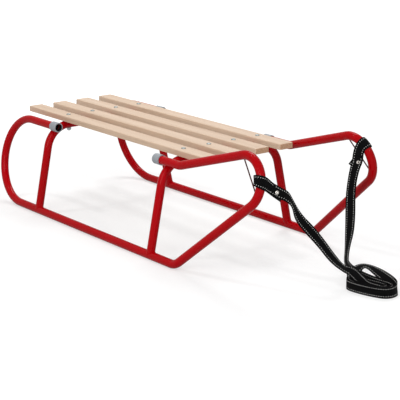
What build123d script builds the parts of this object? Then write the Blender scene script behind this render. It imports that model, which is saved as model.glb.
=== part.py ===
from build123d import *
import math
import os

# Metal sled: two bent tube runners, two cross arches, beech slats and a webbing tow strap.
# Millimetres. +X is forward, +Y is the sled's left, +Z is up, the floor is z = 0.

# Frame tubing
tube_d = 20.0
tube_wall = 1.5
weld_gap = 0.2

# Runners: each lies in one plane that leans inward from the floor
overall_length = 1054.0
track = 412.4
lean = 11.8
front_bend_r = 57.8
front_bend_lift = 6.5
grip_angle = 16.7
nose_angle = 39.3
toe_bend_r = 45.0
grip_bend_r = 45.0
sleeve_bore_depth = 60.0

# Cross arches, set in from the frame's front and rear ends
front_inset = 347.0
rear_inset = 213.4
arch_height = 222.0
arch_bend_r = 65.0

# Seat slats: overhangs past the arches, and the space beside the runners' upper runs
slat_count = 4
slat_front_overhang = 106.8
slat_rear_overhang = 164.6
slat_side_space = 22.7
slat_width = 40.0
slat_thickness = 13.5
slat_corner_r = 4.0
slat_edge_r = 2.5
slat_gap = 0.1

# Slat bolts and nuts
bolt_d = 6.0
bolt_hole_d = 6.6
bolt_head_d = 11.0
bolt_head_h = 2.4
bolt_head_round = 2.0
bolt_tail = 2.0
nut_flats = 10.0
nut_height = 5.0
nut_hole_d = 6.4
nut_gap = 0.15

# Grey sleeves on the tube ends
cap_wall = 2.0
cap_length = 26.0
cap_clearance = 0.2
cap_arch_gap = 0.4
cap_end_wall = 3.0
cap_end_r = 3.5
sleeve_mouth_d = 19.2
sleeve_mouth_depth = 14.0
sleeve_rim_r = 0.8

# Strap keeper rods inside the front bends
keeper_d = 3.0
keeper_start_angle = 104.0
keeper_end_angle = -24.0

# Tow strap
strap_width = 24.0
strap_thickness = 2.0
loop_slack = 3.4
loop_seat_gap = 1.2
loop_cheek = 12.0
loop_fold_x = 30.0
rivet_from_fold = 11.0
tail_from_rivet = 11.0
strap_lead = 12.0
rivet_hole_d = 4.4
rivet_shank_d = 4.0
rivet_head_d = 9.0
rivet_head_h = 1.8
rivet_head_round = 1.5
coil_center_x = 651.8
coil_center_y = 31.4
coil_turn = 12.0
coil_length = 122.0
coil_breadth = 80.0
coil_height = 27.0
coil_crown_length = 88.0
coil_crown_breadth = 44.0
coil_crown_height = 23.0
coil_crown_shift = (-2.5, 14.0)
foot_gap = 0.3

tube_r = tube_d / 2
lean_rad = math.radians(lean)
arch_front_x = overall_length / 2 - front_inset
arch_rear_x = rear_inset - overall_length / 2

# An arch's leg lies in the runner's plane and turns into the cross bar
arch_turn = math.radians(90 - lean)
arch_tangent = arch_bend_r * math.tan(arch_turn / 2)
arch_corner_rise = (arch_height - tube_r) / math.cos(lean_rad)
arch_corner_y = track / 2 - arch_corner_rise * math.sin(lean_rad)
arch_tangent_rise = arch_corner_rise - arch_tangent
arch_tangent_y = arch_corner_y - arch_tangent

# The runner's upper runs lie on the outside of the arch bends
shoulder = arch_bend_r + tube_d + weld_gap
run_rise = arch_tangent_rise + math.sqrt(shoulder**2 - arch_bend_r**2)
run_y = track / 2 - run_rise * math.sin(lean_rad)
run_z = tube_r + run_rise * math.cos(lean_rad)

# Runner outline in its plane: x forward, rise measured up the lean from the floor tube's axis
loop_r = run_rise / 2
loop_x = -overall_length / 2 + tube_r + loop_r
bend_x = overall_length / 2 - tube_r - front_bend_r
bend_rise = run_rise + front_bend_lift
grip_rad = math.radians(grip_angle)
nose_rad = math.radians(nose_angle)
grip_x = bend_x - (front_bend_r + front_bend_lift * math.cos(grip_rad)) / math.sin(grip_rad)
toe_x = bend_x + (front_bend_r - bend_rise * math.cos(nose_rad)) / math.sin(nose_rad)
front_cap_x = arch_front_x - tube_r - cap_arch_gap
rear_cap_x = arch_rear_x + tube_r + cap_arch_gap
front_end_x = front_cap_x - cap_length + cap_end_wall
rear_end_x = rear_cap_x + cap_length - sleeve_mouth_depth
cap_d = tube_d + 2 * (cap_clearance + cap_wall)


def on_bend(angle):
    """Point of the front bend's axis at an angle, in degrees, in the runner's plane."""
    turn = math.radians(angle)
    return (bend_x + front_bend_r * math.cos(turn), bend_rise + front_bend_r * math.sin(turn))


right_plane = Plane(
    origin=(0, -track / 2, tube_r),
    x_dir=(1, 0, 0),
    z_dir=(0, -math.cos(lean_rad), math.sin(lean_rad)),
)

os.makedirs("parts", exist_ok=True)

# Right runner: grip run, front bend, nose, floor run, rear loop and rear run in one tube
with BuildPart() as runner_right:
    with BuildLine(right_plane) as runner_path:
        grip_end = on_bend(90 + grip_angle)
        nose_start = on_bend(nose_angle - 90)
        FilletPolyline((front_end_x, run_rise), (grip_x, run_rise), grip_end, radius=grip_bend_r)
        CenterArc((bend_x, bend_rise), front_bend_r, 90 + grip_angle, nose_angle - grip_angle - 180)
        FilletPolyline(nose_start, (toe_x, 0), (loop_x, 0), radius=toe_bend_r)
        CenterArc((loop_x, loop_r), loop_r, 270, -180)
        Line((loop_x, run_rise), (rear_end_x, run_rise))
    with BuildSketch(Plane(origin=runner_path.wire() @ 0, z_dir=runner_path.wire() % 0)):
        Circle(tube_r)
    sweep(path=runner_path.wire())
    rear_mouth = runner_path.wire() @ 1
    with BuildSketch(Plane(origin=rear_mouth, z_dir=(-1, 0, 0))):
        Circle(tube_r - tube_wall)
    extrude(amount=sleeve_bore_depth, mode=Mode.SUBTRACT)
runner_right.part.label = "runner_right"
export_step(runner_right.part, "parts/runner_right.step")

with BuildPart() as runner_left:
    mirror(runner_right.part, about=Plane.XZ)
runner_left.part.label = "runner_left"
export_step(runner_left.part, "parts/runner_left.step")

# Slat centre lines and arch positions
seat_width = 2 * (run_y - tube_r - slat_side_space)
slat_pitch = (seat_width - slat_width) / (slat_count - 1)
slat_ys = [(i - (slat_count - 1) / 2) * slat_pitch for i in range(slat_count)]
slat_bottom = arch_height + tube_r + slat_gap
slat_top = slat_bottom + slat_thickness
slat_front_x = arch_front_x + slat_front_overhang
slat_rear_x = arch_rear_x - slat_rear_overhang
slat_length = slat_front_x - slat_rear_x
slat_x = (slat_front_x + slat_rear_x) / 2
arches = (("front", arch_front_x), ("rear", arch_rear_x))

# Arches: splayed legs saddled on the floor tubes, bolt holes through the cross bar
for arch_name, arch_x in arches:
    arch_plane = Plane(origin=(arch_x, 0, 0), x_dir=(0, 1, 0), z_dir=(1, 0, 0))
    with BuildPart() as arch:
        with BuildLine(arch_plane) as arch_path:
            FilletPolyline(
                (-track / 2, tube_r),
                (-arch_corner_y, arch_height),
                (arch_corner_y, arch_height),
                (track / 2, tube_r),
                radius=arch_bend_r,
            )
        with BuildSketch(Plane(origin=arch_path.wire() @ 0, z_dir=arch_path.wire() % 0)):
            Circle(tube_r)
        sweep(path=arch_path.wire())
        with BuildSketch(Plane(origin=(arch_x - tube_d, 0, 0), z_dir=(1, 0, 0), x_dir=(0, 1, 0))):
            with Locations((-track / 2, tube_r), (track / 2, tube_r)):
                Circle(tube_r + weld_gap)
        extrude(amount=2 * tube_d, mode=Mode.SUBTRACT)
        with BuildSketch(Plane(origin=(arch_x, 0, arch_height - tube_d))):
            with Locations([(0, y) for y in slat_ys]):
                Circle(bolt_hole_d / 2)
        extrude(amount=2 * tube_d, mode=Mode.SUBTRACT)
    arch.part.label = "arch_" + arch_name
    export_step(arch.part, "parts/arch_" + arch_name + ".step")

# Slats with eased ends and edges, their bolts on top and the nuts under the cross bars
nut_corner_r = nut_flats / math.sqrt(3)
inner_bend_r = arch_bend_r - tube_r
for index, slat_y in enumerate(slat_ys):
    number = str(index + 1)
    # an outer nut reaches past the bar's straight part, so it seats where the bend has begun to fall
    past_straight = max(0.0, abs(slat_y) + nut_corner_r - arch_tangent_y)
    bar_fall = inner_bend_r - math.sqrt(inner_bend_r**2 - past_straight**2)
    nut_top = arch_height - tube_r - bar_fall - nut_gap
    bolt_end = nut_top - nut_height - bolt_tail
    with BuildPart() as slat:
        with BuildSketch(Plane(origin=(slat_x, slat_y, slat_bottom))):
            RectangleRounded(slat_length, slat_width, slat_corner_r)
        extrude(amount=slat_thickness)
        fillet(slat.faces().sort_by(Axis.Z)[-1].edges(), slat_edge_r)
        with BuildSketch(Plane(origin=(0, slat_y, slat_bottom))):
            with Locations([(arch_x, 0) for arch_name, arch_x in arches]):
                Circle(bolt_hole_d / 2)
        extrude(amount=slat_thickness, mode=Mode.SUBTRACT)
    slat.part.label = "slat_" + number
    export_step(slat.part, "parts/slat_" + number + ".step")

    for arch_name, arch_x in arches:
        with BuildPart() as bolt:
            with BuildSketch(Plane(origin=(arch_x, slat_y, slat_top))):
                Circle(bolt_head_d / 2)
            extrude(amount=bolt_head_h)
            fillet(bolt.edges().sort_by(Axis.Z)[-1], bolt_head_round)
            with BuildSketch(Plane(origin=(arch_x, slat_y, bolt_end))):
                Circle(bolt_d / 2)
            extrude(amount=slat_top - bolt_end)
        bolt.part.label = "bolt_" + number + "_" + arch_name
        export_step(bolt.part, "parts/bolt_" + number + "_" + arch_name + ".step")

        with BuildPart() as nut:
            with BuildSketch(Plane(origin=(arch_x, slat_y, nut_top - nut_height))):
                RegularPolygon(nut_flats / 2, 6, major_radius=False)
                Circle(nut_hole_d / 2, mode=Mode.SUBTRACT)
            extrude(amount=nut_height)
        nut.part.label = "nut_" + number + "_" + arch_name
        export_step(nut.part, "parts/nut_" + number + "_" + arch_name + ".step")

# Closed caps on the runners' front ends, open sleeves on their rear ends
sides = (("right", -1), ("left", 1))
for side_name, side in sides:
    with BuildPart() as front_cap:
        with BuildSketch(Plane(origin=(front_cap_x, side * run_y, run_z), z_dir=(-1, 0, 0))):
            Circle(cap_d / 2)
        extrude(amount=cap_length)
        fillet(front_cap.edges().sort_by(Axis.X)[0], cap_end_r)
        with BuildSketch(Plane(origin=(front_cap_x, side * run_y, run_z), z_dir=(-1, 0, 0))):
            Circle(tube_r + cap_clearance)
        extrude(amount=cap_length - cap_end_wall, mode=Mode.SUBTRACT)
    front_cap.part.label = "front_cap_" + side_name
    export_step(front_cap.part, "parts/front_cap_" + side_name + ".step")

    with BuildPart() as rear_sleeve:
        with BuildSketch(Plane(origin=(rear_cap_x, side * run_y, run_z), z_dir=(1, 0, 0))):
            Circle(cap_d / 2)
        extrude(amount=cap_length)
        fillet(rear_sleeve.edges().sort_by(Axis.X)[-1], sleeve_rim_r)
        with BuildSketch(Plane(origin=(rear_cap_x, side * run_y, run_z), z_dir=(1, 0, 0))):
            Circle(sleeve_mouth_d / 2)
        extrude(amount=cap_length, mode=Mode.SUBTRACT)
        with BuildSketch(Plane(origin=(rear_cap_x, side * run_y, run_z), z_dir=(1, 0, 0))):
            Circle(tube_r + cap_clearance)
        extrude(amount=cap_length - sleeve_mouth_depth, mode=Mode.SUBTRACT)
    rear_sleeve.part.label = "rear_sleeve_" + side_name
    export_step(rear_sleeve.part, "parts/rear_sleeve_" + side_name + ".step")

# Keeper rods: straight chords across the inside of the front bends, coped to the tube
bend_origin = right_plane.from_local_coords((bend_x, bend_rise, 0))
with BuildPart() as keeper_right:
    with BuildLine(right_plane) as keeper_path:
        Line(on_bend(keeper_start_angle), on_bend(keeper_end_angle))
    with BuildSketch(Plane(origin=keeper_path.wire() @ 0, z_dir=keeper_path.wire() % 0)):
        Circle(keeper_d / 2)
    sweep(path=keeper_path.wire())
    with Locations(Plane(origin=bend_origin, x_dir=right_plane.x_dir, z_dir=right_plane.z_dir)):
        Torus(front_bend_r, tube_r + weld_gap, mode=Mode.SUBTRACT)
keeper_right.part.label = "keeper_right"
export_step(keeper_right.part, "parts/keeper_right.step")

with BuildPart() as keeper_left:
    mirror(keeper_right.part, about=Plane.XZ)
keeper_left.part.label = "keeper_left"
export_step(keeper_left.part, "parts/keeper_left.step")

# Tow strap: a riveted loop round each front bend, a hanging strand and a hank on the floor
# side name, side, loop's place round the bend, pull direction, rivet's place aside
# as a share of the width, strand on edge, strand route as (distance from the bend, height)
strands = (
    (
        "right",
        -1,
        10.0,
        (0.359, 0.773, -0.521),
        -0.08,
        True,
        ((68, 192), (82, 160), (107, 127), (133, 98), (158, 64), (184, 39.3), (205, 39.3)),
    ),
    (
        "left",
        1,
        48.0,
        (0.030, -0.620, -0.780),
        -0.29,
        False,
        ((39, 203), (44, 168), (47, 129), (47.5, 92)),
    ),
)
# foot of the left strand: route as (share of the way to the hank, height)
foot_route = ((0.02, 72), (0.14, 54), (0.34, 36), (0.58, 23), (0.8, 16), (1, 13.5))
loop_inner_r = tube_r + loop_slack
loop_outer_r = loop_inner_r + strap_thickness
rivet_x = loop_fold_x + rivet_from_fold
loop_reach = rivet_x + tail_from_rivet


def corner_radii(points):
    """Arc radius at each corner of a strap's route, as large as its two runs allow."""
    radii = []
    for before, corner, after in zip(points, points[1:], points[2:]):
        first = Vector(corner[0] - before[0], corner[1] - before[1])
        second = Vector(after[0] - corner[0], after[1] - corner[1])
        bend = math.radians(first.get_angle(second))
        radii.append(0.45 * min(first.length, second.length) / math.tan(bend / 2))
    print("strap corner radii", [round(radius, 1) for radius in radii])
    return radii


for side_name, side, place, pull, rivet_share, on_edge, route in strands:
    turn = math.radians(place)
    bend_point = right_plane.from_local_coords((*on_bend(place), 0))
    tube_axis = (right_plane.x_dir * -math.sin(turn)) + (right_plane.y_dir * math.cos(turn))
    outward = (right_plane.x_dir * math.cos(turn)) + (right_plane.y_dir * math.sin(turn))
    if side > 0:
        bend_point = Vector(bend_point.X, -bend_point.Y, bend_point.Z)
        tube_axis = Vector(tube_axis.X, -tube_axis.Y, tube_axis.Z)
        outward = Vector(outward.X, -outward.Y, outward.Z)
    pull_dir = Vector(*pull).normalized()
    across = (tube_axis - pull_dir * tube_axis.dot(pull_dir)).normalized()
    # a loop pulled aslant of the curved tube is longer and sits half the tube's sag inward,
    # so that both edges of its back clear the tube
    skew = math.acos(across.dot(tube_axis))
    bend_sag = (strap_width / 2 / math.cos(skew)) ** 2 / (2 * front_bend_r)
    loop_origin = bend_point - outward * (bend_sag / 2)
    loop_plane = Plane(origin=loop_origin, x_dir=pull_dir, z_dir=across)
    back_shift = strap_width / 2 * math.tan(skew) + bend_sag * outward.dot(pull_dir)
    back_reach = tube_r / math.cos(skew) + back_shift + loop_seat_gap
    loop_back = loop_inner_r - back_reach
    rivet_aside = rivet_share * strap_width

    with BuildPart() as loop:
        with BuildSketch(loop_plane):
            with BuildLine():
                Polyline(
                    (loop_back, loop_outer_r),
                    (loop_cheek, loop_outer_r),
                    (loop_fold_x, strap_thickness),
                    (loop_reach, strap_thickness),
                    (loop_reach, -strap_thickness),
                    (loop_fold_x, -strap_thickness),
                    (loop_cheek, -loop_outer_r),
                    (loop_back, -loop_outer_r),
                )
                ThreePointArc(
                    (loop_back, -loop_outer_r),
                    (loop_back - loop_outer_r, 0),
                    (loop_back, loop_outer_r),
                )
            make_face()
            with BuildLine():
                Polyline(
                    (loop_back, loop_inner_r),
                    (loop_cheek, loop_inner_r),
                    (loop_fold_x, 0),
                    (loop_cheek, -loop_inner_r),
                    (loop_back, -loop_inner_r),
                )
                ThreePointArc((loop_back, -loop_inner_r), (-back_reach, 0), (loop_back, loop_inner_r))
            make_face(mode=Mode.SUBTRACT)
        extrude(amount=strap_width / 2, both=True)
        with BuildSketch(Plane(origin=loop_origin, x_dir=pull_dir, z_dir=loop_plane.y_dir)):
            with Locations((rivet_x, -rivet_aside)):
                Circle(rivet_hole_d / 2)
        extrude(amount=2 * strap_thickness, both=True, mode=Mode.SUBTRACT)
    loop.part.label = "strap_loop_" + side_name
    export_step(loop.part, "parts/strap_loop_" + side_name + ".step")

    rivet_point = loop_plane.from_local_coords((rivet_x, 0, rivet_aside))
    with BuildPart() as rivet:
        for face_dir in (loop_plane.y_dir, -loop_plane.y_dir):
            head_base = rivet_point + face_dir * strap_thickness
            with BuildSketch(Plane(origin=head_base, x_dir=pull_dir, z_dir=face_dir)):
                Circle(rivet_head_d / 2)
            extrude(amount=rivet_head_h)
        tips = rivet.edges().filter_by(GeomType.CIRCLE).sort_by(Axis(rivet_point, loop_plane.y_dir))
        fillet([tips[0], tips[-1]], rivet_head_round)
        with BuildSketch(Plane(origin=rivet_point, x_dir=pull_dir, z_dir=loop_plane.y_dir)):
            Circle(rivet_shank_d / 2)
        extrude(amount=strap_thickness, both=True)
    rivet.part.label = "strap_rivet_" + side_name
    export_step(rivet.part, "parts/strap_rivet_" + side_name + ".step")

    loop_end = loop_plane.from_local_coords((loop_reach, 0, 0))
    heading_dir = Vector(pull[0], pull[1], 0).normalized()
    side_dir = heading_dir.cross(Vector(0, 0, 1))
    strand_plane = Plane(origin=(loop_end.X, loop_end.Y, 0), x_dir=heading_dir, z_dir=side_dir)
    reach = (loop_end - loop_origin).dot(heading_dir)
    lead = pull_dir * strap_lead
    points = [(0, loop_end.Z), (lead.dot(heading_dir), loop_end.Z + lead.Z)]
    points += [(along - reach, height) for along, height in route]
    with BuildPart() as strand:
        with BuildLine(strand_plane) as strand_path:
            FilletPolyline(*points, radius=corner_radii(points))
        strand_wire = strand_path.wire()
        with BuildSketch(Plane(origin=strand_wire @ 0, x_dir=side_dir, z_dir=strand_wire % 0)):
            if on_edge:
                Rectangle(strap_thickness, strap_width)
            else:
                Rectangle(strap_width, strap_thickness)
        sweep(path=strand_wire)
    print(side_name, "strand length", round(strand_wire.length, 1))
    plain_volume = strand_wire.length * strap_width * strap_thickness
    print("volume ratio", round(strand.part.volume / plain_volume, 3))
    strand.part.label = "strap_" + side_name
    export_step(strand.part, "parts/strap_" + side_name + ".step")

# The left strand's foot sags towards the middle of the hank's near end
coil_plane = Plane(origin=(coil_center_x, coil_center_y, 0)).rotated((0, 0, coil_turn))
coil_end = coil_plane.from_local_coords((coil_breadth / 2 - coil_length / 2, 0, 0))
strand_end = strand_wire @ 1
foot_way = Vector(coil_end.X - strand_end.X, coil_end.Y - strand_end.Y, 0)
foot_dir = foot_way.normalized()
foot_side = foot_dir.cross(Vector(0, 0, 1))
foot_reach = foot_way.length - coil_breadth / 2 - foot_gap
foot_plane = Plane(origin=(strand_end.X, strand_end.Y, 0), x_dir=foot_dir, z_dir=foot_side)
foot_points = [(0, strand_end.Z - foot_gap)]
foot_points += [(share * foot_reach, height) for share, height in foot_route]
with BuildPart() as foot:
    with BuildLine(foot_plane) as foot_path:
        FilletPolyline(*foot_points, radius=corner_radii(foot_points))
    with BuildSketch(Plane(origin=foot_path.wire() @ 0, x_dir=foot_side, z_dir=foot_path.wire() % 0)):
        Rectangle(strap_width, strap_thickness)
    sweep(path=foot_path.wire())
print("foot length", round(foot_path.wire().length, 1), "ends at", foot_path.wire() @ 1)
foot.part.label = "strap_foot_left"
export_step(foot.part, "parts/strap_foot_left.step")

# Hank: the rest of the strap, wound on edge in an oval with one loose turn arched over its back
with BuildPart() as coil:
    with BuildSketch(coil_plane):
        SlotOverall(coil_length, coil_breadth)
    extrude(amount=coil_height)
    with BuildSketch(coil_plane.offset(coil_height)):
        with Locations(coil_crown_shift):
            SlotOverall(coil_crown_length, coil_crown_breadth)
    extrude(amount=coil_crown_height)
coil.part.label = "strap_coil"
export_step(coil.part, "parts/strap_coil.step")
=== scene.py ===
import math

import bpy
from mathutils import Matrix, Vector


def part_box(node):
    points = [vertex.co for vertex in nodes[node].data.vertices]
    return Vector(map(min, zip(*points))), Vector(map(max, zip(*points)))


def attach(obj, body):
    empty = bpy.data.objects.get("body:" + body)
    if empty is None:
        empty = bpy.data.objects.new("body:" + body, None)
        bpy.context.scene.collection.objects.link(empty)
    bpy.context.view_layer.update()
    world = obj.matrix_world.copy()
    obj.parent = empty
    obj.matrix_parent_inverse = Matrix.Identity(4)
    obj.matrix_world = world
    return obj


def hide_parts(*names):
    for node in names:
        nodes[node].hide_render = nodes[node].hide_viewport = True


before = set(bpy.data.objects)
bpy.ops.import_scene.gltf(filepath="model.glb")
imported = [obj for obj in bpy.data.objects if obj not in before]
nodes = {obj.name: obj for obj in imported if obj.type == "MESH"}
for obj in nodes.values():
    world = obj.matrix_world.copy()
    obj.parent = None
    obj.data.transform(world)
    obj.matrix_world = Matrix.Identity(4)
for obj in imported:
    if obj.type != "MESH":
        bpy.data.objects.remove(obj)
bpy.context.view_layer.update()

# Metal sled: red tube frame, beech slats, grey sleeves and a black tow strap with white stitching.
# Metres, in the CAD's frame: +X forward, +Y the sled's left, +Z up, the floor at z = 0.
# A side is -1 for the sled's right and 1 for its left.

scene = bpy.context.scene
scene.view_settings.view_transform = "Standard"

FORWARD = Vector((1.0, 0.0, 0.0))

# Camera, solved from the photograph's points
CAMERA_AZIMUTH = math.radians(52.94)
CAMERA_ELEVATION = math.radians(15.213)
CAMERA_ROLL = math.radians(-0.44)
CAMERA_PLACE = Vector((2.63433, -1.91648, 0.95255))
CAMERA_LENS_MM = 123.549
CAMERA_SENSOR_MM = 36.0
CAMERA_CLIP_END = 100.0

# Runners: bent tubes, each in a plane that leans in from its run on the floor
TUBE_R = 0.010
LEAN = math.radians(11.8)
HALF_TRACK = 0.2062
# front bends, which the strap loops go round
BEND_X = 0.4592
BEND_RISE = 0.22534
BEND_R = 0.0578
# upper runs beside the seat, with open sleeves on their rear ends
UPPER_RUN_Y = 0.16145
UPPER_RUN_Z = 0.22421
SLEEVE_MOUTH_X = -0.2772
# bore radii, and the lip and depth of the painted shade inside the open rear ends
TUBE_BORE_R = 0.0092
SLEEVE_BORE_R = 0.0102
BORE_LIP = 0.0003
BORE_SHADE_DEPTH = 0.075

# Cross arches, and the weld beads between them and the runners
ARCH_HEIGHT = 0.222
ARCH_BEND_R = 0.065
WELD_R = 0.0019
WELD_RIPPLE = 0.00016
WELD_RIPPLES = 26
WELD_STEPS = 4 * WELD_RIPPLES
WELD_SIDES = 10
# a foot's bead: the saddle line's squared height, and its inset and size beside the tube
FOOT_SADDLE = 1.03
FOOT_SIDE_INSET = 0.0005
FOOT_SIDE_SIZE = 0.45
# a shoulder's bead: its distance from the point where the tubes touch
SHOULDER_SPREAD = 0.0060

SLAT_COUNT = 4

# Tow strap: a band with a row of stitches along each edge
STRAP_WIDTH = 0.024
STRAP_THICKNESS = 0.0018
STITCH_ACROSS = 0.0077
STITCH_PITCH = 0.0052
STITCH_LENGTH = 0.0024
STITCH_R = 0.00066
STITCH_SIDES = 6
# a stitch's rings, as shares of its length and of its radius
STITCH_SHAPE = ((0.0, 0.15), (0.2, 0.9), (0.8, 0.9), (1.0, 0.15))
# stations across the band, as distance from its middle, and the share of full thickness there
EDGE = STRAP_WIDTH / 2
NEAR_EDGE = 0.0116
INNER = 0.004
BAND_STATIONS = (
    -EDGE, -NEAR_EDGE, -STITCH_ACROSS, -INNER, 0.0, INNER, STITCH_ACROSS, NEAR_EDGE, EDGE,
)
BAND_FULLNESS = (0.2, 0.75, 0.95, 1.0, 1.0, 1.0, 0.95, 0.75, 0.2)
ROUTE_STEPS = 10

# Loops at the strap's ends: a ring round the tube, then two cheeks that meet under the rivet
LOOP_CLEARANCE = 0.0004
LOOP_R = TUBE_R + LOOP_CLEARANCE + STRAP_THICKNESS / 2
LOOP_REACH = 0.030
LOOP_LEAVE = math.radians(78.0)
LAYER_OFFSET = 0.00095
RING_STEPS = 28
MAIN_STEPS = 12
TAIL_CHEEK_STEPS = 14
TAIL_STEPS = 6

# Rivet profiles (radius, height above the strap) from the middle out: domed cap and rolled end
RIVET_SIDES = 28
RIVET_RIM = ((0.0043, -0.0001),)
RIVET_DOME = (
    (0.00002, 0.0018), (0.0012, 0.00174), (0.0024, 0.00152), (0.0034, 0.0011), (0.0041, 0.0006),
    (0.0045, 0.00015),
) + RIVET_RIM
RIVET_ROLL = (
    (0.00002, -0.0004), (0.0012, -0.0003), (0.0015, 0.0007), (0.0019, 0.0014), (0.0026, 0.0017),
    (0.0034, 0.0013), (0.0041, 0.0006), (0.0045, 0.0001),
) + RIVET_RIM

# Strap route: places, and directions across the band
RIGHT_LEAD = (0.0, 0.011, 0.021)
RIGHT_STRAND = (
    ((0.540, -0.109, 0.209), (-0.25, 0.75, 0.60)),
    ((0.544, -0.095, 0.192), (-0.70, 0.70, 0.25)),
    ((0.548, -0.083, 0.159), (-0.20, 0.85, 0.50)),
    ((0.558, -0.058, 0.129), (0.05, 0.80, 0.60)),
    ((0.569, -0.035, 0.098), (-0.15, 0.85, 0.50)),
    ((0.581, -0.014, 0.064), (-0.25, 0.85, 0.50)),
    ((0.594, 0.009, 0.038), (-0.70, 0.65, 0.30)),
    ((0.602, 0.022, 0.035), (-0.10, 0.85, 0.50)),
    ((0.626, 0.021, 0.025), (0.25, 0.60, 0.80)),
)
LEFT_STRAND = (
    ((0.612, 0.056, 0.013), (0.0, 0.0, 1.0)),
    ((0.583, 0.058, 0.016), (0.10, -0.10, 1.0)),
    ((0.557, 0.061, 0.023), (0.25, -0.30, 0.90)),
    ((0.535, 0.069, 0.028), (0.70, -0.10, 0.75)),
    ((0.519, 0.088, 0.054), (0.85, -0.15, 0.55)),
    ((0.508, 0.104, 0.087), (0.95, 0.20, 0.10)),
    ((0.508, 0.105, 0.128), (0.90, 0.40, -0.10)),
    ((0.505, 0.107, 0.167), (0.95, 0.30, 0.0)),
    ((0.504, 0.112, 0.201), (1.0, 0.20, 0.0)),
    ((0.505, 0.119, 0.229), (0.95, 0.35, 0.0)),
)
LEFT_LEAD = (0.011, 0.0)

# Hank between the strands: an oval spiral, by half sizes at each quarter turn, which lie
# alternately across and along it; angles in degrees along the spiral
HANK_CENTER = Vector((0.652, 0.030, 0.0))
HANK_TURNED = math.radians(12)
HANK_REACHES = (
    0.012, 0.038, 0.014, 0.055, 0.030, 0.061, 0.036, 0.046, 0.022, 0.050, 0.027,
)
HANK_ROUNDNESS = 0.70
HANK_START = 270
HANK_STEP = 30
HANK_STEPS_PER_QUARTER = 90 // HANK_STEP
HANK_HEIGHT = 0.0124
# swells as (size, middle angle, half width): rise in metres, then lean in degrees
HANK_ENTRY = (0.004, 270, 80)
HANK_ARCH = (0.032, 853, 96)
HANK_LIE_OVER = (90.0, 852, 106)
HANK_LEAN_BACK = (-19.8, 715, 60)


def add_piece(name, verts, faces, mat):
    """A smooth mesh piece of the sled with its material, riding on the only body."""
    mesh = bpy.data.meshes.new(name)
    mesh.from_pydata(verts, [], faces)
    mesh.shade_smooth()
    mesh.materials.append(mat)
    obj = bpy.data.objects.new(name, mesh)
    scene.collection.objects.link(obj)
    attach(obj, "root")
    return obj


def make_camera():
    back = Vector((
        math.sin(CAMERA_AZIMUTH) * math.cos(CAMERA_ELEVATION),
        -math.cos(CAMERA_AZIMUTH) * math.cos(CAMERA_ELEVATION),
        math.sin(CAMERA_ELEVATION),
    ))
    level = Vector((math.cos(CAMERA_AZIMUTH), math.sin(CAMERA_AZIMUTH), 0.0))
    upright = back.cross(level)
    right = level * math.cos(CAMERA_ROLL) + upright * math.sin(CAMERA_ROLL)
    up = upright * math.cos(CAMERA_ROLL) - level * math.sin(CAMERA_ROLL)
    data = bpy.data.cameras.new("camera")
    data.lens = CAMERA_LENS_MM
    data.sensor_width = CAMERA_SENSOR_MM
    data.clip_end = CAMERA_CLIP_END
    obj = bpy.data.objects.new("camera", data)
    turn = Matrix((right, up, back)).transposed().to_4x4()
    obj.matrix_world = Matrix.Translation(CAMERA_PLACE) @ turn
    scene.collection.objects.link(obj)
    scene.camera = obj


def rise_dir(side):
    """Upward direction in a runner's leaning plane."""
    return Vector((0.0, -side * math.sin(LEAN), math.cos(LEAN)))


def floor_run(x, side):
    """Point on the axis of a runner's run along the floor."""
    return Vector((x, side * HALF_TRACK, TUBE_R))


# Tow strap


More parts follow.
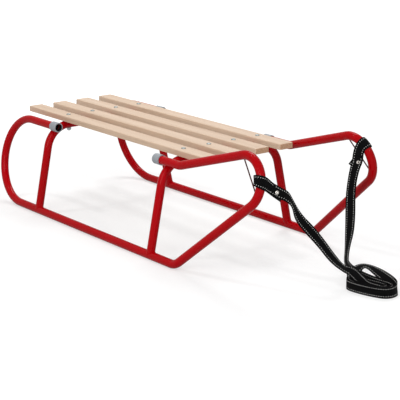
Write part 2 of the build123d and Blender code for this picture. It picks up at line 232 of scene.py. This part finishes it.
class StrapLoop:
    """One riveted loop: a ring that hugs the tube, and two layers that meet under the rivet.

    place: degrees up the front bend, from straight ahead
    pull: direction from the tube to the rivet
    main: the face that the main layer lies on, 1 or -1 along the layers' normal
    main_turn, tail_turn: degrees that each layer turns aside from the pull
    tail_length, tail_aside: the tail's length past the rivet, and its shift across
    skew: 0 for a ring square to the tube, 1 for one square to the layers
    back_slack: how far the ring stands off the tube at the back
    """

    def __init__(self, name, side, place, pull, main, main_turn, tail_turn,
                 tail_length, tail_aside, skew, back_slack):
        self.name = name
        self.main = main
        self.tail_length = tail_length
        self.tail_aside = tail_aside
        self.back_slack = back_slack
        rise = rise_dir(side)
        turn = math.radians(place)
        self.hub = floor_run(BEND_X, side) + rise * BEND_RISE
        self.axle = FORWARD.cross(rise)
        self.center = self.hub + (FORWARD * math.cos(turn) + rise * math.sin(turn)) * BEND_R
        tube_dir = rise * math.cos(turn) - FORWARD * math.sin(turn)
        self.pull = Vector(pull).normalized()
        self.across = (tube_dir - self.pull * tube_dir.dot(self.pull)).normalized()
        self.normal = self.across.cross(self.pull)
        ring_axis = tube_dir.lerp(self.across, skew).normalized()
        self.ring_front = (self.pull - ring_axis * self.pull.dot(ring_axis)).normalized()
        self.ring_side = ring_axis.cross(self.ring_front)
        self.slant = ring_axis.dot(tube_dir)
        low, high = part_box("strap_rivet_" + name)
        self.rivet_place = (Vector(low) + Vector(high)) / 2
        self.main_dir = self.turned(main_turn)
        self.tail_dir = self.turned(tail_turn)
        self.main_width = self.width_of(self.main_dir)
        self.layer = self.normal * (main * LAYER_OFFSET)
        self.fold = self.center + self.pull * LOOP_REACH + self.layer
        self.fold += self.normal * (self.rivet_place - self.center).dot(self.normal)

    def turned(self, degrees):
        """Direction in the layers' plane, turned from the pull towards the across direction."""
        turn = math.radians(degrees)
        return self.pull * math.cos(turn) + self.across * math.sin(turn)

    def width_of(self, direction):
        """Direction across a layer that runs along a direction in the layers' plane."""
        width = self.normal.cross(direction)
        return width * math.copysign(1.0, width.dot(self.across))

    def beyond(self, distance):
        """Point of the main layer's middle line past the fold."""
        return self.fold + self.main_dir * distance

    def ring(self, angle, across):
        """Point and heading of the ring round the tube, carried along the bend to a station."""
        out = self.ring_front * (math.cos(angle) / self.slant) + self.ring_side * math.sin(angle)
        out -= self.ring_front * (self.back_slack / LOOP_R * max(0.0, -math.cos(angle)))
        ahead = self.ring_side * math.cos(angle) - self.ring_front * math.sin(angle)
        carry = Matrix.Rotation(across / (BEND_R * self.slant), 3, self.axle)
        return self.hub + carry @ (self.center + out * LOOP_R - self.hub), carry @ ahead

    def cheek(self, leave, end, end_dir, steps):
        """Rows from the ring to a place in the layers' plane, one smooth curve per station."""
        end_width = self.width_of(end_dir)
        rows = []
        for i in range(1, steps + 1):
            t = i / steps
            row = []
            for across in BAND_STATIONS:
                first, heading = self.ring(leave, across)
                heading *= -math.copysign(1.0, leave)
                last = end + end_width * across
                reach = (last - first).length
                row.append(
                    first * (2 * t ** 3 - 3 * t ** 2 + 1)
                    + heading * (reach * (t ** 3 - 2 * t ** 2 + t))
                    + last * (3 * t ** 2 - 2 * t ** 3)
                    + end_dir * (reach * (t ** 3 - t ** 2))
                )
            rows.append(row)
        return rows

    def rows(self):
        """Rows from the tail's end under the rivet, round the tube, to the main layer's fold."""
        under_rivet = self.rivet_place - self.layer + self.across * self.tail_aside
        tail_width = self.width_of(self.tail_dir)
        rows = []
        for i in range(TAIL_STEPS, 0, -1):
            place = under_rivet + self.tail_dir * (self.tail_length * i / TAIL_STEPS)
            rows.append([place + tail_width * across for across in BAND_STATIONS])
        leave = self.main * LOOP_LEAVE
        rows += self.cheek(-leave, under_rivet, self.tail_dir, TAIL_CHEEK_STEPS)[::-1]
        for i in range(RING_STEPS + 1):
            angle = LOOP_LEAVE + (2 * math.pi - 2 * LOOP_LEAVE) * i / RING_STEPS
            rows.append([self.ring(-self.main * angle, across)[0] for across in BAND_STATIONS])
        return rows + self.cheek(leave, self.fold, self.main_dir, MAIN_STEPS)


loop_right = StrapLoop(
    "right", side=-1, place=10.0, pull=(0.359, 0.773, -0.521), main=-1, main_turn=0, tail_turn=-6,
    tail_length=0.017, tail_aside=0.0, skew=0.6, back_slack=0.0042,
)
loop_left = StrapLoop(
    "left", side=1, place=48.0, pull=(0.030, -0.620, -0.780), main=1, main_turn=-20, tail_turn=9,
    tail_length=0.014, tail_aside=0.0045, skew=0.0, back_slack=0.001,
)


def swell(angle, size, middle, half):
    """Smooth bump of a given size about an angle, 0 beyond its half width."""
    share = abs(angle - middle) / half
    return size * math.cos(share * math.pi / 2) ** 2 if share < 1 else 0.0


def hank():
    """Turns of the hank, on edge; the last one rises and lies over as an arch."""
    along_dir = Vector((math.cos(HANK_TURNED), math.sin(HANK_TURNED), 0.0))
    across_dir = Vector((-math.sin(HANK_TURNED), math.cos(HANK_TURNED), 0.0))
    last = len(HANK_REACHES) - 1
    points = []
    for step in range(HANK_STEPS_PER_QUARTER * last + 1):
        angle = HANK_START + HANK_STEP * step
        quarter = step // HANK_STEPS_PER_QUARTER
        first, second = HANK_REACHES[quarter], HANK_REACHES[min(quarter + 1, last)]
        across, along = (first, second) if quarter % 2 == 0 else (second, first)
        # rounded, so that quarter turns give an exact 0
        c = round(math.cos(math.radians(angle)), 6)
        s = round(math.sin(math.radians(angle)), 6)
        place = HANK_CENTER + along_dir * math.copysign(along * abs(c) ** HANK_ROUNDNESS, c)
        place += across_dir * math.copysign(across * abs(s) ** HANK_ROUNDNESS, s)
        place.z = HANK_HEIGHT + swell(angle, *HANK_ENTRY) + swell(angle, *HANK_ARCH)
        lean = math.radians(swell(angle, *HANK_LIE_OVER) + swell(angle, *HANK_LEAN_BACK))
        outward = along_dir * c + across_dir * s
        width = outward * math.sin(lean) + Vector((0.0, 0.0, math.cos(lean)))
        points.append((place, width))
    return points


def strap_route():
    """Places and width directions from the right loop's fold, through the hank, to the left's."""
    route = [(loop_right.beyond(distance), loop_right.main_width) for distance in RIGHT_LEAD]
    route += [(Vector(place), Vector(width)) for place, width in RIGHT_STRAND]
    route += hank()
    route += [(Vector(place), Vector(width)) for place, width in LEFT_STRAND]
    route += [(loop_left.beyond(distance), -loop_left.main_width) for distance in LEFT_LEAD]
    return route


def spline_points(name, places):
    """Points read from one NURBS spline that has the places as its control points."""
    curve = bpy.data.curves.new(name, "CURVE")
    curve.dimensions = "3D"
    spline = curve.splines.new("NURBS")
    spline.points.add(len(places) - 1)
    for point, place in zip(spline.points, places):
        point.co = (*place, 1.0)
    spline.order_u = 3
    spline.use_endpoint_u = True
    spline.resolution_u = ROUTE_STEPS
    obj = bpy.data.objects.new(name, curve)
    mesh = bpy.data.meshes.new_from_object(obj)
    points = [vertex.co.copy() for vertex in mesh.vertices]
    bpy.data.objects.remove(obj)
    bpy.data.curves.remove(curve)
    bpy.data.meshes.remove(mesh)
    return points


def strap_rows():
    """Rows across the free strap, and its middle line."""
    route = strap_route()
    middle = spline_points("strap_route", [place for place, width in route])
    widths = spline_points("strap_width", [width for place, width in route])
    rows = []
    for i, place in enumerate(middle):
        ahead = middle[min(i + 1, len(middle) - 1)] - middle[max(i - 1, 0)]
        ahead.normalize()
        width = (widths[i] - ahead * widths[i].dot(ahead)).normalized()
        rows.append([place + width * across for across in BAND_STATIONS])
    return rows, middle


def row_normals(rows):
    """Unit normals of the band's middle surface, one for each row and station."""
    normals = []
    for i, row in enumerate(rows):
        before = rows[max(i - 1, 0)]
        after = rows[min(i + 1, len(rows) - 1)]
        line = []
        for j in range(len(row)):
            ahead = after[j] - before[j]
            aside = row[min(j + 1, len(row) - 1)] - row[max(j - 1, 0)]
            line.append(ahead.cross(aside).normalized())
        normals.append(line)
    return normals


def lengths_along(points):
    """Distance of each point from the first, along the line."""
    lengths = [0.0]
    for a, b in zip(points, points[1:]):
        lengths.append(lengths[-1] + (b - a).length)
    return lengths


def band(name, rows, mat):
    """Closed band with soft edges; its UV map holds the distances along and across it."""
    count = len(BAND_STATIONS)
    normals = row_normals(rows)
    verts = []
    for face in (1, -1):
        for row, line in zip(rows, normals):
            for place, normal, fullness in zip(row, line, BAND_FULLNESS):
                verts.append(place + normal * (face * STRAP_THICKNESS / 2 * fullness))
    under = len(rows) * count
    faces = []
    for i in range(len(rows) - 1):
        for j in range(count - 1):
            a, b = i * count + j, (i + 1) * count + j
            faces.append((a, b, b + 1, a + 1))
            faces.append((under + a, under + a + 1, under + b + 1, under + b))
        for j, flip in ((0, False), (count - 1, True)):
            a, b = i * count + j, (i + 1) * count + j
            side = (a, under + a, under + b, b)
            faces.append(side[::-1] if flip else side)
    last = (len(rows) - 1) * count
    for j in range(count - 1):
        faces.append((j, j + 1, under + j + 1, under + j))
        faces.append((last + j + 1, last + j, under + last + j, under + last + j + 1))
    obj = add_piece(name, verts, faces, mat)
    lengths = lengths_along([row[count // 2] for row in rows])
    layer = obj.data.uv_layers.new(name="strap")
    for loop in obj.data.loops:
        index = loop.vertex_index % under
        layer.data[loop.index].uv = (lengths[index // count], BAND_STATIONS[index % count])
    return obj


def dashes(points):
    """Start and end of each stitch along a line, with the index of the point before its end."""
    lengths = lengths_along(points)

    def place(distance, index):
        while lengths[index + 1] < distance:
            index += 1
        share = (distance - lengths[index]) / (lengths[index + 1] - lengths[index])
        return points[index].lerp(points[index + 1], share), index

    found = []
    index = 0
    distance = STITCH_PITCH / 2
    while distance + STITCH_LENGTH < lengths[-1]:
        start, index = place(distance, index)
        end, end_index = place(distance + STITCH_LENGTH, index)
        found.append((start, end, end_index))
        distance += STITCH_PITCH
    return found


def ring_of(center, first_dir, second_dir, radius, sides):
    """Points of a circle, from its first direction towards its second."""
    points = []
    for k in range(sides):
        turn = 2 * math.pi * k / sides
        points.append(center + (first_dir * math.cos(turn) + second_dir * math.sin(turn)) * radius)
    return points


def stitching(name, rows, mat):
    """Thread along both edges and both faces of a band, one bead for each stitch."""
    sides = STITCH_SIDES
    normals = row_normals(rows)
    verts = []
    faces = []
    for station in (BAND_STATIONS.index(-STITCH_ACROSS), BAND_STATIONS.index(STITCH_ACROSS)):
        for face in (1, -1):
            lift = face * STRAP_THICKNESS / 2 * BAND_FULLNESS[station]
            line = [row[station] + line[station] * lift for row, line in zip(rows, normals)]
            for start, end, index in dashes(line):
                normal = normals[index][station] * face
                aside = (end - start).cross(normal).normalized()
                base = len(verts)
                for share, size in STITCH_SHAPE:
                    verts += ring_of(start.lerp(end, share), aside, normal, STITCH_R * size, sides)
                top = len(verts) - sides
                for ring in range(base, top, sides):
                    for k in range(sides):
                        a, b = ring + k, ring + (k + 1) % sides
                        faces.append((a, b, b + sides, a + sides))
                faces.append(tuple(base + k for k in reversed(range(sides))))
                faces.append(tuple(top + k for k in range(sides)))
    return add_piece(name, verts, faces, mat)


def rivet(loop, mat):
    """Tubular rivet: a domed cap on one face of the strap and a rolled end on the other."""
    sides = RIVET_SIDES
    verts = []
    faces = []
    for profile, out in ((RIVET_DOME, -loop.normal), (RIVET_ROLL, loop.normal)):
        turn_dir = out.cross(loop.pull)
        center = loop.rivet_place + out * (2 * LAYER_OFFSET)
        base = len(verts)
        for radius, height in profile:
            verts += ring_of(center + out * height, loop.pull, turn_dir, radius, sides)
        for ring in range(base, len(verts) - sides, sides):
            for k in range(sides):
                a, b = ring + k, ring + (k + 1) % sides
                faces.append((a, a + sides, b + sides, b))
        faces.append(tuple(base + k for k in range(sides)))
    obj = add_piece("rivet_" + loop.name, verts, faces, mat)
    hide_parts("strap_rivet_" + loop.name)
    return obj


# Welds


def weld_bead(name, ring, radii, mat):
    """Rippled bead of weld along a closed ring of points."""
    sides = WELD_SIDES
    count = len(ring)
    center = sum(ring, Vector()) / count
    verts = []
    faces = []
    for i, place in enumerate(ring):
        ahead = (ring[(i + 1) % count] - ring[i - 1]).normalized()
        out = place - center
        out = (out - ahead * out.dot(ahead)).normalized()
        radius = radii[i] + WELD_RIPPLE * math.sin(2 * math.pi * WELD_RIPPLES * i / count)
        verts += ring_of(place, out, ahead.cross(out), radius, sides)
        after = (i + 1) % count * sides
        for k in range(sides):
            beside = (k + 1) % sides
            faces.append((i * sides + k, after + k, after + beside, i * sides + beside))
    return add_piece(name, verts, faces, mat)


def foot_weld(name, arch_x, side, mat):
    """Bead in the corner round an arch's foot, thin where the two tubes' sides run together."""
    rise = rise_dir(side)
    sideways = rise.cross(FORWARD)
    foot = floor_run(arch_x, side)
    ring = []
    radii = []
    for i in range(WELD_STEPS):
        turn = 2 * math.pi * i / WELD_STEPS
        height = TUBE_R * math.sqrt(FOOT_SADDLE - math.sin(turn) ** 2)
        corner = abs(math.cos(turn))
        out = TUBE_R - FOOT_SIDE_INSET * (1.0 - corner)
        around = FORWARD * (out * math.cos(turn)) + sideways * (out * math.sin(turn))
        ring.append(foot + around + rise * height)
        radii.append(WELD_R * (FOOT_SIDE_SIZE + (1.0 - FOOT_SIDE_SIZE) * corner))
    return weld_bead(name, ring, radii, mat)


def shoulder_weld(name, arch_x, side, mat):
    """Bead round the place where a runner's upper run lies on an arch's bend."""
    turn = math.pi / 2 - LEAN
    tangent_rise = (ARCH_HEIGHT - TUBE_R) / math.cos(LEAN) - ARCH_BEND_R * math.tan(turn / 2)
    inward = Vector((0.0, -side * math.cos(LEAN), -math.sin(LEAN)))
    center = floor_run(arch_x, side) + rise_dir(side) * tangent_rise + inward * ARCH_BEND_R
    up = (Vector((arch_x, side * UPPER_RUN_Y, UPPER_RUN_Z)) - center).normalized()
    along_arch = up.cross(FORWARD)
    touch = center + up * (ARCH_BEND_R + TUBE_R)
    ring = []
    for i in range(WELD_STEPS):
        angle = 2 * math.pi * i / WELD_STEPS
        ahead = SHOULDER_SPREAD * math.cos(angle)
        aside = SHOULDER_SPREAD * math.sin(angle)
        runner_lift = aside ** 2 / (2 * TUBE_R)
        arch_drop = ahead ** 2 / (2 * TUBE_R) + aside ** 2 / (2 * (ARCH_BEND_R + TUBE_R))
        between = (runner_lift - arch_drop) / 2
        ring.append(touch + FORWARD * ahead + along_arch * aside + up * between)
    return weld_bead(name, ring, [WELD_R] * WELD_STEPS, mat)


def weld_arches(mat):
    for arch in ("arch_front", "arch_rear"):
        low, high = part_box(arch)
        arch_x = (low[0] + high[0]) / 2
        for side, hand in ((-1, "right"), (1, "left")):
            foot_weld("weld_foot_" + arch + "_" + hand, arch_x, side, mat)
            shoulder_weld("weld_shoulder_" + arch + "_" + hand, arch_x, side, mat)


# Materials

NOISE_ROUGHNESS = 0.55


def material(name, **values):
    """A new node material with its tree and its shader, whose sockets take the values."""
    mat = bpy.data.materials.new(name)
    mat.use_nodes = True
    shader = mat.node_tree.nodes["Principled BSDF"]
    for key, value in values.items():
        shader.inputs[key.replace("_", " ")].default_value = value
    return mat, mat.node_tree, shader


def add_node(tree, kind, **properties):
    """A new node with properties of its own set, such as its operation."""
    new = tree.nodes.new(kind)
    for key, value in properties.items():
        setattr(new, key, value)
    return new


def feed(tree, target, value):
    """Links a socket to an input, or sets a plain value there."""
    if isinstance(value, bpy.types.NodeSocket):
        tree.links.new(value, target)
    else:
        target.default_value = value


def math_node(tree, operation, *values):
    new = add_node(tree, "ShaderNodeMath", operation=operation)
    for target, value in zip(new.inputs, values):
        feed(tree, target, value)
    return new.outputs[0]


def split(tree, vector):
    """The three parts of a vector."""
    new = add_node(tree, "ShaderNodeSeparateXYZ")
    feed(tree, new.inputs[0], vector)
    return new.outputs


def place_of(tree, stretch=(1.0, 1.0, 1.0), shift=(0.0, 0.0, 0.0)):
    """Coordinates of the object in metres, stretched for a texture."""
    coordinates = add_node(tree, "ShaderNodeTexCoord")
    mapping = add_node(tree, "ShaderNodeMapping")
    feed(tree, mapping.inputs["Scale"], stretch)
    feed(tree, mapping.inputs["Location"], shift)
    feed(tree, mapping.inputs["Vector"], coordinates.outputs["Object"])
    return mapping.outputs["Vector"]


def noise(tree, vector, scale, detail=3.0):
    new = add_node(tree, "ShaderNodeTexNoise")
    feed(tree, new.inputs["Scale"], scale)
    feed(tree, new.inputs["Detail"], detail)
    feed(tree, new.inputs["Roughness"], NOISE_ROUGHNESS)
    feed(tree, new.inputs["Vector"], vector)
    return new.outputs["Fac"]


def ramp(tree, value, *stops):
    """Colours by position: each stop is (position, colour)."""
    new = add_node(tree, "ShaderNodeValToRGB")
    elements = new.color_ramp.elements
    while len(elements) < len(stops):
        elements.new(0.5)
    for element, (position, colour) in zip(elements, stops):
        element.position = position
        element.color = (*colour, 1.0)
    feed(tree, new.inputs["Fac"], value)
    return new.outputs["Color"]


def tones(tree, value, first, second):
    """Two colours over the middle range of a noise."""
    return ramp(tree, value, (0.3, first), (0.7, second))


def grey(value):
    return (value, value, value)


def mix_colour(tree, share, first, second, blend="MIX"):
    """Two colours mixed; a mix node's sockets 6, 7 and output 2 are those for colours."""
    new = add_node(tree, "ShaderNodeMix", data_type="RGBA", blend_type=blend)
    feed(tree, new.inputs["Factor"], share)
    feed(tree, new.inputs[6], first)
    feed(tree, new.inputs[7], second)
    return new.outputs[2]


def surface(tree, shader, colour, roughness, height, strength, distance):
    """Colour, roughness and bump of a shader."""
    feed(tree, shader.inputs["Base Color"], colour)
    feed(tree, shader.inputs["Roughness"], roughness)
    new = add_node(tree, "ShaderNodeBump")
    feed(tree, new.inputs["Strength"], strength)
    feed(tree, new.inputs["Distance"], distance)
    feed(tree, new.inputs["Height"], height)
    feed(tree, shader.inputs["Normal"], new.outputs["Normal"])


def painted_bore_shade_mask(tree, bore_r):
    """1 inside the runners' open rear ends, within a radius of their axis: where the bores get
    painted shade.
    """
    x, y, z = split(tree, place_of(tree))
    across = math_node(tree, "SUBTRACT", math_node(tree, "ABSOLUTE", y), UPPER_RUN_Y)
    upward = math_node(tree, "SUBTRACT", z, UPPER_RUN_Z)
    across_squared = math_node(tree, "MULTIPLY", across, across)
    upward_squared = math_node(tree, "MULTIPLY", upward, upward)
    radius = math_node(tree, "SQRT", math_node(tree, "ADD", across_squared, upward_squared))
    inside = math_node(tree, "LESS_THAN", radius, bore_r)
    behind = math_node(tree, "LESS_THAN", x, SLEEVE_MOUTH_X - BORE_LIP)
    ahead = math_node(tree, "GREATER_THAN", x, SLEEVE_MOUTH_X - BORE_SHADE_DEPTH)
    return math_node(tree, "MULTIPLY", inside, math_node(tree, "MULTIPLY", behind, ahead))


def red_paint():
    """Gloss powder coat on the tubes, with painted shade, near black, inside the open rear ends."""
    mat, tree, shader = material(
        "red_paint", Specular_IOR_Level=0.02, Coat_Weight=0.10, Coat_Roughness=0.05,
    )
    cloud = noise(tree, place_of(tree), 9.0)
    paint = tones(tree, cloud, (0.42, 0.0, 0.002), (0.47, 0.0, 0.004))
    # painted shade: the tubes' bores are painted near black where shade falls inside them
    painted_bore_shade = (0.012, 0.011, 0.011, 1.0)
    colour = mix_colour(tree, painted_bore_shade_mask(tree, TUBE_BORE_R), paint, painted_bore_shade)
    speck = noise(tree, place_of(tree), 260.0, 2.0)
    gloss = ramp(tree, speck, (0.3, grey(0.11)), (0.75, grey(0.17)))
    orange_peel = noise(tree, place_of(tree), 420.0, 2.0)
    surface(tree, shader, colour, gloss, orange_peel, 0.06, 0.0006)
    return mat


def beech(number):
    """Pale beech: long grain, fine dark flecks and a soft lacquer, different on each slat."""
    mat, tree, shader = material("beech_" + str(number), Coat_Weight=0.12, Coat_Roughness=0.35)
    shift = (0.37 * number, 0.83 * number, 0.19 * number)
    rings = noise(tree, place_of(tree, (1.6, 42.0, 42.0), shift), 1.0, 4.0)
    base = ramp(
        tree, rings, (0.25, (0.60, 0.42, 0.285)), (0.5, (0.68, 0.495, 0.35)),
        (0.75, (0.73, 0.545, 0.40)),
    )
    streaks = noise(tree, place_of(tree, (9.0, 520.0, 520.0), shift), 1.0)
    grain = ramp(tree, streaks, (0.3, grey(0.86)), (0.6, grey(1.0)))
    streaked = mix_colour(tree, 1.0, base, grain, "MULTIPLY")
    flecks = noise(tree, place_of(tree, (130.0, 900.0, 900.0), shift), 1.0, 1.0)
    fleck = ramp(tree, flecks, (0.66, grey(0.0)), (0.74, grey(0.55)))
    fleck_brown = (0.45, 0.28, 0.17, 1.0)
    faced = mix_colour(tree, fleck, streaked, fleck_brown)
    normal = split(tree, add_node(tree, "ShaderNodeTexCoord").outputs["Normal"])
    at_end = math_node(tree, "GREATER_THAN", math_node(tree, "ABSOLUTE", normal[0]), 0.7)
    pores = noise(tree, place_of(tree, (1.0, 420.0, 420.0), shift), 1.0, 4.0)
    end_grain = tones(tree, pores, (0.47, 0.26, 0.14), (0.64, 0.41, 0.26))
    colour = mix_colour(tree, at_end, faced, end_grain)
    lacquer = tones(tree, streaks, grey(0.62), grey(0.48))
    surface(tree, shader, colour, lacquer, streaks, 0.12, 0.0008)
    return mat


def grey_plastic():
    """Moulded sleeves: mid grey with a fine satin texture, and painted shade, near black, inside
    the open ends.
    """
    mat, tree, shader = material("grey_plastic")
    cloud = noise(tree, place_of(tree), 60.0)
    moulded = tones(tree, cloud, (0.26, 0.28, 0.305), (0.32, 0.34, 0.365))
    # painted shade: the sleeves' bores are painted near black where shade falls inside them
    painted_sleeve_shade = (0.01, 0.009, 0.009, 1.0)
    colour = mix_colour(tree, painted_bore_shade_mask(tree, SLEEVE_BORE_R), moulded, painted_sleeve_shade)
    grain = noise(tree, place_of(tree), 2600.0, 2.0)
    surface(tree, shader, colour, tones(tree, grain, grey(0.42), grey(0.55)), grain, 0.15, 0.0003)
    return mat


def zinc():
    """Zinc plate: pale metal with a faint cloudy crystal pattern."""
    mat, tree, shader = material("zinc", Metallic=1.0)
    cloud = noise(tree, place_of(tree), 900.0, 2.0)
    colour = tones(tree, cloud, (0.20, 0.22, 0.22), (0.34, 0.36, 0.35))
    crystals = noise(tree, place_of(tree), 1800.0)
    surface(tree, shader, colour, tones(tree, cloud, grey(0.28), grey(0.42)), crystals, 0.1, 0.0003)
    return mat


def nickel_plate():
    """Bright nickel with light handling marks."""
    mat, tree, shader = material("nickel", Metallic=1.0)
    marks = noise(tree, place_of(tree), 700.0, 4.0)
    colour = tones(tree, marks, (0.36, 0.34, 0.31), (0.60, 0.57, 0.53))
    surface(tree, shader, colour, tones(tree, marks, grey(0.14), grey(0.26)), marks, 0.05, 0.0002)
    return mat


def keeper_wire():
    """Thin rod of a dark, brownish red."""
    mat, tree, shader = material("keeper_wire", Specular_IOR_Level=0.12)
    cloud = noise(tree, place_of(tree), 240.0)
    colour = tones(tree, cloud, (0.05, 0.008, 0.008), (0.09, 0.013, 0.012))
    surface(tree, shader, colour, tones(tree, cloud, grey(0.3), grey(0.42)), cloud, 0.08, 0.0003)
    return mat


def webbing_cloth():
    """Black polyester webbing: a twill of fine warp cords that the weft pulls in, row by row."""
    warp_pitch = 0.0011
    weft_pitch = 0.0016
    mat, tree, shader = material(
        "webbing", Specular_IOR_Level=0.03, Sheen_Weight=0.012, Sheen_Roughness=0.4,
    )
    uv = add_node(tree, "ShaderNodeUVMap", uv_map="strap")
    along, across = split(tree, uv.outputs["UV"])[:2]
    half_warp = math_node(tree, "MULTIPLY", across, math.pi / warp_pitch)
    straight_weft = math_node(tree, "MULTIPLY", along, 2 * math.pi / weft_pitch)
    weft = math_node(tree, "ADD", straight_weft, half_warp)
    cords = math_node(tree, "ABSOLUTE", math_node(tree, "SINE", half_warp))
    rows = math_node(tree, "MULTIPLY_ADD", math_node(tree, "SINE", weft), 0.5, 0.5)
    weave = math_node(tree, "MULTIPLY", cords, math_node(tree, "ADD", rows, 0.35))
    fuzz = noise(tree, place_of(tree), 2200.0, 2.0)
    height = math_node(tree, "ADD", weave, math_node(tree, "MULTIPLY", fuzz, 0.35))
    # painted shade and painted highlight: the weave's hollows are painted darker and its crowns
    # lighter
    colour = ramp(
        tree, height, (0.2, grey(0.0012)), (0.9, (0.0042, 0.0042, 0.0045)),
        (1.0, (0.008, 0.008, 0.0085)),
    )
    dull = ramp(tree, height, (0.2, grey(0.9)), (1.0, grey(0.62)))
    surface(tree, shader, colour, dull, height, 0.5, 0.0004)
    return mat


def white_thread():
    """Off-white twisted thread."""
    mat, tree, shader = material("white_thread")
    twist = noise(tree, place_of(tree), 3000.0, 1.0)
    colour = tones(tree, twist, (0.55, 0.55, 0.53), (0.84, 0.84, 0.81))
    surface(tree, shader, colour, 0.7, twist, 0.3, 0.0002)
    return mat


def paint_node(name, mat):
    """Gives a CAD node its material."""
    obj = nodes[name]
    if not obj.material_slots:
        obj.data.materials.append(mat)
    for slot in obj.material_slots:
        slot.material = mat


def dress_nodes(red):
    """Gives the frame, seat, caps, sleeves and fixings their materials, by their names' start."""
    plastic = grey_plastic()
    plate = zinc()
    finishes = {
        "runner": red, "arch": red,
        "front": plastic, "rear": plastic,
        "bolt": plate, "nut": plate,
        "keeper": keeper_wire(),
    }
    for name in nodes:
        kind = name.split("_")[0]
        if kind in finishes:
            paint_node(name, finishes[kind])
    for number in range(1, SLAT_COUNT + 1):
        paint_node("slat_" + str(number), beech(number))


# Floor, light and background

FLOOR_HALF = 20.0
FLOOR_GREY = (0.5, 0.5, 0.5, 1.0)
# the floor's own glow as it is seen: strength near the sled and far off, and the range between
GLOW = {"From Min": 0.8, "From Max": 2.2, "To Min": 0.54, "To Max": 0.95}
AMBIENT = 0.36
LAMP_TARGET = Vector((0.0, 0.0, 0.1))
# name, place, size and watts: two broad lamps, and two small ones for the gloss's glints
LAMPS = (
    ("overhead", (-1.1, 1.2, 2.9), (1.3, 1.3), 44.0),
    ("fill", (1.4, -2.7, 1.5), (2.0, 2.0), 42.0),
    ("high", (-0.85, -1.25, 2.85), (0.3, 0.3), 14.0),
    ("front", (3.1, -0.4, 1.9), (0.25, 0.45), 20.0),
)


def seen_directly(tree):
    """1 for camera, glossy and transmission rays, so that metal shows the white background too."""
    path = add_node(tree, "ShaderNodeLightPath")
    seen = math_node(tree, "MAXIMUM", path.outputs["Is Camera Ray"], path.outputs["Is Glossy Ray"])
    return math_node(tree, "MAXIMUM", seen, path.outputs["Is Transmission Ray"])


def make_stage():
    """Pale floor that keeps the sled's shadow and fades to the white of the background."""
    corners = [(-1, -1), (1, -1), (1, 1), (-1, 1)]
    mesh = bpy.data.meshes.new("floor")
    mesh.from_pydata([(x * FLOOR_HALF, y * FLOOR_HALF, 0) for x, y in corners], [], [(0, 1, 2, 3)])
    floor = bpy.data.objects.new("floor", mesh)
    scene.collection.objects.link(floor)
    mat = bpy.data.materials.new("floor")
    mat.use_nodes = True
    tree = mat.node_tree
    tree.nodes.clear()
    diffuse = add_node(tree, "ShaderNodeBsdfDiffuse")
    feed(tree, diffuse.inputs["Color"], FLOOR_GREY)
    distance = add_node(tree, "ShaderNodeVectorMath", operation="LENGTH")
    feed(tree, distance.inputs[0], place_of(tree))
    strength = add_node(tree, "ShaderNodeMapRange", interpolation_type="SMOOTHSTEP")
    feed(tree, strength.inputs["Value"], distance.outputs["Value"])
    for key, value in GLOW.items():
        feed(tree, strength.inputs[key], value)
    seen_strength = math_node(tree, "MULTIPLY", seen_directly(tree), strength.outputs[0])
    glow = add_node(tree, "ShaderNodeEmission")
    feed(tree, glow.inputs["Strength"], seen_strength)
    both = add_node(tree, "ShaderNodeAddShader")
    feed(tree, both.inputs[0], diffuse.outputs[0])
    feed(tree, both.inputs[1], glow.outputs[0])
    feed(tree, add_node(tree, "ShaderNodeOutputMaterial").inputs["Surface"], both.outputs[0])
    mesh.materials.append(mat)


def make_world():
    """White background as it is seen, and a weaker, even light from all round."""
    world = bpy.data.worlds.new("studio")
    scene.world = world
    world.use_nodes = True
    tree = world.node_tree
    background = tree.nodes["Background"]
    feed(tree, background.inputs["Color"], (1.0, 1.0, 1.0, 1.0))
    lift = math_node(tree, "MULTIPLY", seen_directly(tree), 1.0 - AMBIENT)
    feed(tree, background.inputs["Strength"], math_node(tree, "ADD", lift, AMBIENT))


def make_lights():
    for name, place, size, power in LAMPS:
        data = bpy.data.lights.new(name, "AREA")
        data.shape = "RECTANGLE"
        data.size, data.size_y = size
        data.energy = power
        obj = bpy.data.objects.new(name, data)
        obj.location = place
        obj.rotation_euler = (LAMP_TARGET - Vector(place)).to_track_quat("-Z", "Y").to_euler()
        scene.collection.objects.link(obj)


make_camera()
make_world()
make_lights()
make_stage()

webbing = webbing_cloth()
thread = white_thread()
nickel = nickel_plate()
paint = red_paint()
dress_nodes(paint)
weld_arches(paint)

rows, middle_line = strap_rows()
strap = band("tow_strap", rows, webbing)
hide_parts("strap_right", "strap_left", "strap_foot_left", "strap_coil")
pieces = [stitching("tow_strap_stitching", rows, thread)]
for loop in (loop_right, loop_left):
    loop_rows = loop.rows()
    around = band("loop_" + loop.name, loop_rows, webbing)
    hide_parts("strap_loop_" + loop.name)
    seams = stitching("loop_stitching_" + loop.name, loop_rows, thread)
    pieces += [around, seams, rivet(loop, nickel)]
